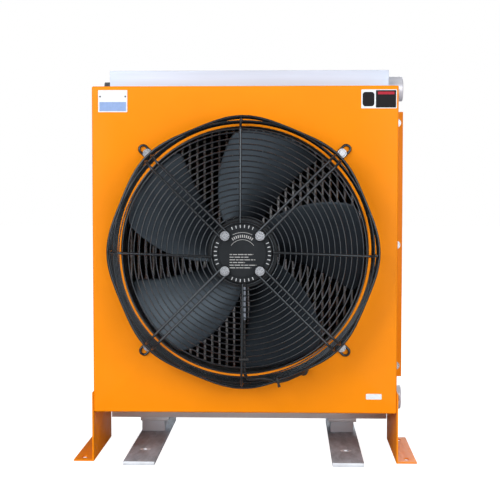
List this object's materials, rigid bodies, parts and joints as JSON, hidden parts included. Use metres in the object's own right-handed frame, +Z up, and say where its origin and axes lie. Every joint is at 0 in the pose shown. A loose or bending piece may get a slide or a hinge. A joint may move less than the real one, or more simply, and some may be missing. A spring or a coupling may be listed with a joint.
{
  "type": "air-blast hydraulic oil cooler",
  "caption": "Freestanding oil cooler: upright tube-and-fin core with end tanks and oil ports behind a painted fan shroud, with an axial fan on a wire guard.",
  "frame": {"origin": "centre of the bounding box's footprint, on the floor", "axes": "+Z up, +Y from the fan back through the core, +X towards the oil ports; the fan's axis lies along Y"},
  "size_m": [0.7076, 0.5918, 0.826],
  "materials": {
    "paint": "smooth orange powder coat",
    "aluminium": "plain milled and welded aluminium",
    "fins": "brazed tubes with dark fin rows between them",
    "extrusion": "sawn flat bar, dull",
    "zinc": "bright zinc plate",
    "black": "semi-gloss black coat",
    "blade": "dark coated sheet metal",
    "steel": "ground and laminated steel",
    "copper": "enamelled copper wire",
    "rubber": "matt black sheath and nylon",
    "label": "blank plates and labels"
  },
  "bodies": {
    "cooler": {"bearing_front": "steel", "bearing_rear": "steel", "bottom_tank": "aluminium", "cable_gland": "rubber", "cable_tie_rim": "rubber", "cable_tie_spoke": "rubber", "core_bracket_left": "aluminium", "core_bracket_right": "aluminium", "core_matrix": "fins", "core_side_plate_left": "aluminium", "core_side_plate_right": "aluminium", "drain_plug": "zinc", "fan_collar": "black", "fan_shroud": "paint", "flange_bolt_left_lower": "zinc", "flange_bolt_left_middle": "zinc", "flange_bolt_left_upper": "zinc", "flange_bolt_right_lower": "zinc", "flange_bolt_right_middle": "zinc", "flange_bolt_right_upper": "zinc", "foot_block_left": "extrusion", "foot_block_right": "extrusion", "foot_plate_left": "extrusion", "foot_plate_right": "extrusion", "foot_top_plate_left": "extrusion", "foot_top_plate_right": "extrusion", "guard_bolt_lower_left": "zinc", "guard_bolt_lower_right": "zinc", "guard_bolt_upper_left": "zinc", "guard_bolt_upper_right": "zinc", "guard_grille": "black", "guard_wall": "black", "leg_bolt_left_front": "zinc", "leg_bolt_left_rear": "zinc", "leg_bolt_right_front": "zinc", "leg_bolt_right_rear": "zinc", "leg_left": "paint", "leg_right": "paint", "lower_label": "label", "lower_port": "aluminium", "motor_bolt_lower_left": "zinc", "motor_bolt_lower_right": "zinc", "motor_bolt_upper_left": "zinc", "motor_bolt_upper_right": "zinc", "motor_cable": "rubber", "motor_end_plate": "black", "nameplate": "label", "stator_core": "steel", "stator_winding": "copper", "top_tank": "aluminium", "upper_label": "label", "upper_port": "aluminium", "vent_plug": "zinc"},
    "fan": {"fan_blade_1": "blade", "fan_blade_2": "blade", "fan_blade_3": "blade", "fan_blade_4": "blade", "fan_blade_5": "blade", "rotor_bell": "black", "rotor_shaft": "steel"}
  },
  "joints": [
    {"name": "fan_spin", "type": "hinge", "parent": "cooler", "child": "fan", "pos_m": [0, -0.1681, 0.437], "axis": [0, 1, 0], "continuous": true}
  ]
}
